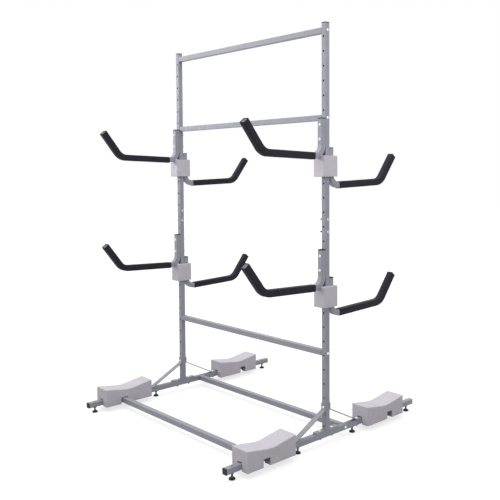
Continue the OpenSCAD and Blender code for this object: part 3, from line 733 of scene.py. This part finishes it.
# %% The sleeve tree
HALF_SLEEVE = 18.3
tree, given = new_tree("foam_sleeve", **{"Sleeve Width": 2 * HALF_SLEEVE * MM,
                                         "Corner Radius": 6.0 * MM, "Corner Steps": 6})
path = add(tree, "GeometryNodeMeshToCurve", given["Geometry"])
path = add(tree, "GeometryNodeSetCurveNormal", path, mode="Z_UP")
outline = add(tree, "GeometryNodeCurvePrimitiveQuadrilateral", given["Sleeve Width"],
              given["Sleeve Width"], mode="RECTANGLE")
outline = add(tree, "GeometryNodeFilletCurve", outline,
              named={"Count": given["Corner Steps"], "Radius": given["Corner Radius"]},
              mode="POLY")
close_tree(tree, add(tree, "GeometryNodeCurveToMesh", path, outline), given)
sleeve_tree = tree

# %% The path of a sleeve
RUN_TILT = 2.0
ELBOW_TURN = 52 - RUN_TILT
BEND_R, ELBOW_R = 60.0, 80.0
ARM_DROP, ARM_REACH, TIP = 162.0, 443.0, 184.0
SLEEVE_START, SLEEVE_OVER = 1.0, 2.0


def sleeve_path():
    """The sleeve's middle line, as distance from the post and height, and its elbow's centre."""
    tilt = math.radians(RUN_TILT)
    trim = BEND_R * math.tan(math.radians(90 + RUN_TILT) / 2)
    elbow = math.radians(ELBOW_TURN)
    elbow_trim = ELBOW_R * math.tan(elbow / 2)
    along = np.array([math.cos(tilt), math.sin(tilt)])
    up = np.array([-math.sin(tilt), math.cos(tilt)])
    corner = np.array([TUBE, -ARM_DROP])
    length = (ARM_REACH - TUBE) / math.cos(tilt)
    start, stop = trim + SLEEVE_START, length - elbow_trim
    points = [corner + along * s for s in np.linspace(start, stop, 25)]
    centre = points[-1] + up * ELBOW_R
    for turn in np.linspace(0, elbow, 19)[1:]:
        points.append(centre + ELBOW_R * (along * math.sin(turn) - up * math.cos(turn)))
    tip_foot = points[-1]
    tip_way = along * math.cos(elbow) + up * math.sin(elbow)
    for s in np.linspace(0, TIP - elbow_trim + SLEEVE_OVER, 12)[1:]:
        points.append(tip_foot + tip_way * s)
    return np.array(points), centre


ARM_LINE, ELBOW_CENTRE = sleeve_path()
steps = np.linalg.norm(np.diff(ARM_LINE, axis=0), axis=1)
print("sleeve length:", round(float(steps.sum()), 1))

# %% Creases and waves in the skin
CREASE_RATE = 40.0  # per radian round the elbow
CREASE_DEPTH, CREASE_ZONE = 0.35, 12.0
WAVE_RATE, WAVE_HEIGHT = 28.0, 0.3  # per metre, and in millimetres


def work_skin(mesh, middle_x, centre_y, centre_z):
    """Turns a sleeve's skin outwards, and gives it creases inside its elbow and slow waves."""
    shape = bmesh.new()
    shape.from_mesh(mesh)
    lean = sum(f.normal.x * (f.calc_center_median().x - middle_x) for f in shape.faces)
    if lean < 0:
        bmesh.ops.reverse_faces(shape, faces=shape.faces)
    for vertex in shape.verts:
        out = vertex.co - Vector((vertex.co.x, centre_y, centre_z))
        inner = max(0.0, 1 - (out.length - (ELBOW_R - HALF_SLEEVE) * MM) / (CREASE_ZONE * MM))
        ripple = math.sin(math.atan2(out.z, out.y) * CREASE_RATE)
        if inner > 0:
            vertex.co += out.normalized() * (ripple * inner * CREASE_DEPTH * MM)
        vertex.co += vertex.normal * (noise.noise(vertex.co * WAVE_RATE) * WAVE_HEIGHT * MM)
    shape.to_mesh(mesh)
    shape.free()


# %% Make the eight sleeves
for arm, sx, sy in ARMS:
    bolt_z = box_mm(arm + "_arm")[1][2] - LEG_OVER
    line = [(sx * post_x, post_y + sy * u, bolt_z + v) for u, v in ARM_LINE]
    sleeve = grow(arm + "_foam_sleeve", sleeve_tree, sleeve_foam, line,
                  edges=[(i, i + 1) for i in range(len(line) - 1)])
    work_skin(sleeve.data, sx * post_x * MM, (post_y + sy * ELBOW_CENTRE[0]) * MM,
              (bolt_z + ELBOW_CENTRE[1]) * MM)
    wall = sleeve.modifiers.new("foam_wall", "SOLIDIFY")
    wall.thickness, wall.offset = 3.0 * MM, -1
    lip = sleeve.modifiers.new("cut_lip", "BEVEL")
    lip.width, lip.segments, lip.angle_limit = 1.1 * MM, 3, math.radians(60)
    sleeve.data.shade_smooth()
    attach(sleeve, "rack")
    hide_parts(arm + "_sleeve")
print("sleeves:", len(ARMS))

# %% [markdown]
# ## Foam blocks
# The bumpers round the posts and the saddles on the base are blocks of foam. They hold
# their shape, but every edge is soft. A sharp remesh lays an even grid over the plain solid
# without losing its edges, and some smoothing then rounds them all alike, inside and out, as
# moulded foam is. Faces far from the slots get a slow swell of a few tenths of a millimetre,
# so no side is a perfect plane.

# %% Soften a block
SWELL_DEPTH, SWELL_RATE = 4.0, 22.0  # in millimetres, and per metre


def vertex_rows(mesh, what):
    """The places or the normals of a mesh's points, one row for each."""
    rows = np.empty(len(mesh.vertices) * 3)
    mesh.vertices.foreach_get(what, rows)
    return rows.reshape(-1, 3)


def soften(name, node, depth, steps, swell_mm):
    """A soft-edged copy of a foam block that stays in its own space.

    depth sets how fine the grid is, and steps how far its edges are rounded.
    """
    shape = bmesh.new()
    shape.from_mesh(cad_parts[node].data)
    bmesh.ops.remove_doubles(shape, verts=shape.verts, dist=0.01 * MM)
    mesh = bpy.data.meshes.new(name)
    shape.to_mesh(mesh)
    shape.free()
    block = bpy.data.objects.new(name, mesh)
    bpy.context.scene.collection.objects.link(block)
    grid = block.modifiers.new("even_grid", "REMESH")
    grid.mode, grid.octree_depth, grid.scale = "SHARP", depth, 0.95
    ease = block.modifiers.new("ease", "SMOOTH")
    ease.factor, ease.iterations = 0.5, steps
    bpy.context.view_layer.update()
    ready = block.evaluated_get(bpy.context.evaluated_depsgraph_get())
    block.data = bpy.data.meshes.new_from_object(ready)
    block.modifiers.clear()
    block.data.name = name
    low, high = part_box(node)
    place, normals = vertex_rows(block.data, "co"), vertex_rows(block.data, "normal")
    # Only the outer faces swell: a point counts when it lies near the block's own box
    inward = np.minimum(place - np.array(low), np.array(high) - place).min(axis=1)
    outer = np.clip(1 - inward / (SWELL_DEPTH * MM), 0, 1)
    slow = np.array([noise.noise(Vector(p) * SWELL_RATE) for p in place])
    place += normals * (outer * slow * swell_mm * MM)[:, None]
    block.data.vertices.foreach_set("co", place.ravel())
    block.data.materials.clear()
    block.data.materials.append(block_foam)
    block.data.shade_smooth()
    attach(block, "rack")
    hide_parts(node)
    return block


# %% Bumpers and saddles
for side in SIDES:
    for level in LEVELS:
        soften(f"{side}_{level}_foam_bumper", f"{side}_{level}_bumper", 6, 4, 0.5)
    for face in FACES:
        block = soften(f"{side}_{face}_foam_saddle", f"{side}_{face}_saddle", 7, 3, 0.8)
print("saddle triangles:", triangles(block))

# %% [markdown]
# ## Welds at the feet of the posts
# The posts are welded to their plates. A weld is a row of small overlapping puddles under
# the powder coat, so the tree runs a round bead along each edge and lets its size rise and
# fall every two millimetres.

# %% The weld tree
WELD_HALF = 12.0
WELD_OFF = 0.6  # from the wall and from the plate to the middle of the bead
tree, given = new_tree("weld_bead", **{"Bead Radius": 2.0 * MM, "Ripple": 2.0 * MM})
path = add(tree, "GeometryNodeMeshToCurve", given["Geometry"])
path = add(tree, "GeometryNodeResampleCurve", path, named={"Length": 0.4 * MM}, mode="LENGTH")
ring = add(tree, "GeometryNodeCurvePrimitiveCircle", named={"Resolution": 12, "Radius": 1.0})
run = add(tree, "GeometryNodeSplineParameter", out="Length")
beat = calc(tree, "DIVIDE", run, given["Ripple"])
beat = calc(tree, "MULTIPLY", beat, 2 * math.pi)
beat = calc(tree, "SINE", beat)
beat = calc(tree, "MULTIPLY_ADD", beat, 0.12, 1.0)
size = calc(tree, "MULTIPLY", beat, given["Bead Radius"])
close_tree(tree, add(tree, "GeometryNodeCurveToMesh", path, ring,
                     named={"Scale": size, "Fill Caps": True}), given)
starts, links = [], []
for sx in SIDES.values():
    for sy in FACES.values():
        for end in (-WELD_HALF, WELD_HALF):
            starts.append((sx * post_x + end, post_y + sy * (TUBE / 2 + WELD_OFF),
                           base_top + PLATE_T + WELD_OFF))
        links.append((len(starts) - 2, len(starts) - 1))
welds = grow("post_welds", tree, powder_coat, starts, edges=links)
smooth(welds, 60)
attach(welds, "rack")
print("weld triangles:", triangles(welds))

# %% [markdown]
# ## Floor and background
# The rack stands on a white floor with nothing behind it. The camera, mirrors and glass see
# pure white from the world, and the floor adds some light of its own for them, so that
# it melts into the background and still keeps the soft shadows under the rack. For the
# light that bounces, the floor is a mid grey, because the lower parts of the real rack are
# a good deal darker than the upper ones.

# %% What the camera and shiny surfaces see
def seen_rays(tree):
    """1 for a ray from the camera, a mirror or glass, and 0 for light that bounces."""
    rays = add(tree, "ShaderNodeLightPath", out=None).outputs
    both = calc(tree, "ADD", rays["Is Camera Ray"], rays["Is Glossy Ray"])
    return calc(tree, "ADD", both, rays["Is Transmission Ray"], use_clamp=True)


# %% Floor
FLOOR_BOUNCE, FLOOR_SEEN, FLOOR_GLOW = 0.30, 0.45, 0.70
bpy.ops.mesh.primitive_plane_add(size=40, location=(0, 0, -0.0005))
floor = bpy.context.object
floor.name = "floor"
paper = bpy.data.materials.new("matt_white_paper")
paper.use_nodes = True
tree = paper.node_tree
tree.nodes.clear()
seen = seen_rays(tree)
fibre = add(tree, "ShaderNodeTexNoise", add(tree, "ShaderNodeTexCoord", out="Object"),
            named={"Scale": 400.0})
fibre = add(tree, "ShaderNodeMapRange", fibre, 0.0, 1.0, 0.98, 1.0)
tone = add(tree, "ShaderNodeMapRange", seen, 0.0, 1.0, FLOOR_BOUNCE, FLOOR_SEEN)
matt = add(tree, "ShaderNodeBsdfDiffuse", calc(tree, "MULTIPLY", tone, fibre))
glow = add(tree, "ShaderNodeEmission", (1, 1, 1, 1), calc(tree, "MULTIPLY", seen, FLOOR_GLOW))
both = add(tree, "ShaderNodeAddShader", matt, glow)
add(tree, "ShaderNodeOutputMaterial", both, out=None)
floor.data.materials.append(paper)

# %% World
WORLD_BOUNCE, WORLD_SEEN = 0.62, 1.0
world = bpy.data.worlds.new("studio")
bpy.context.scene.world = world
world.use_nodes = True
tree = world.node_tree
tree.nodes.clear()
level = add(tree, "ShaderNodeMapRange", seen_rays(tree), 0.0, 1.0, WORLD_BOUNCE, WORLD_SEEN)
sky = add(tree, "ShaderNodeBackground", (1, 1, 1, 1), level)
add(tree, "ShaderNodeOutputWorld", sky, out=None)

# %% [markdown]
# ## Lights
# The photograph was taken in a white studio. The tops are lightest all over, while the
# upright faces are light near the top of the posts and darker near the floor. A very wide
# sun from above gives the first, and two softboxes hung higher than the rack's top and
# aimed at it give the second.

# %% Lamps
def lamp(name, kind, strength, place, aim, size, spread=180):
    """A lamp at a place, turned to a point.

    size is in degrees for a sun and in metres for a softbox, and spread is in degrees.
    """
    made = bpy.data.lights.new(name, kind)
    made.energy = strength
    if kind == "SUN":
        made.angle = math.radians(size)
    else:
        made.size, made.spread = size, math.radians(spread)
    holder = bpy.data.objects.new(name, made)
    holder.location = place
    holder.rotation_mode = "QUATERNION"
    holder.rotation_quaternion = (Vector(place) - Vector(aim)).to_track_quat("Z", "Y")
    bpy.context.scene.collection.objects.link(holder)
    return holder


lamp("top_light", "SUN", 1.1, (-0.1, -0.15, 1.0), (0, 0, 0), size=50)
lamp("right_softbox", "AREA", 5.0, (3.4, -0.5, 3.0), (0.0, 0, 2.2), size=1.6, spread=60)
front = lamp("front_softbox", "AREA", 17.0, (-3.0, -3.0, 2.8), (-0.2, 0, 2.3), size=1.8,
             spread=50)
# Its mirror image would lie on the posts' flat fronts and glare, so shiny surfaces don't see it
front.visible_glossy = False

# %% [markdown]
# ## Camera
# The place and the angles were worked out from the holes in the posts, which lie 75 mm
# apart. The photograph is the lower left part of a wider view, which the lens shift gives.

# %% The photograph's view
PICTURE = 500.0
FOCAL_PX = 699.89
MIDDLE_PX = (268.81, 210.16)
CAMERA_AT = (3.08005, -2.71454, 1.42461)
yaw, pitch, roll = (math.radians(a) for a in (46.97, -3.12, -0.31))
ahead = Vector((-math.sin(yaw) * math.cos(pitch), math.cos(yaw) * math.cos(pitch),
                math.sin(pitch)))
right = Vector((math.cos(yaw), math.sin(yaw), 0))
up = right.cross(ahead)
x_axis = right * math.cos(roll) + up * math.sin(roll)
y_axis = -right * math.sin(roll) + up * math.cos(roll)
view = bpy.data.cameras.new("photo_camera")
view.sensor_width = 36.0
view.lens = FOCAL_PX / PICTURE * view.sensor_width
view.shift_x = (PICTURE / 2 - MIDDLE_PX[0]) / PICTURE
view.shift_y = (MIDDLE_PX[1] - PICTURE / 2) / PICTURE
view.clip_start, view.clip_end = 0.1, 100
camera = bpy.data.objects.new("photo_camera", view)
turn = Matrix((x_axis, y_axis, -ahead)).transposed()
camera.matrix_world = Matrix.Translation(CAMERA_AT) @ turn.to_4x4()
bpy.context.scene.collection.objects.link(camera)
bpy.context.scene.camera = camera
bpy.context.scene.view_settings.view_transform = "Standard"
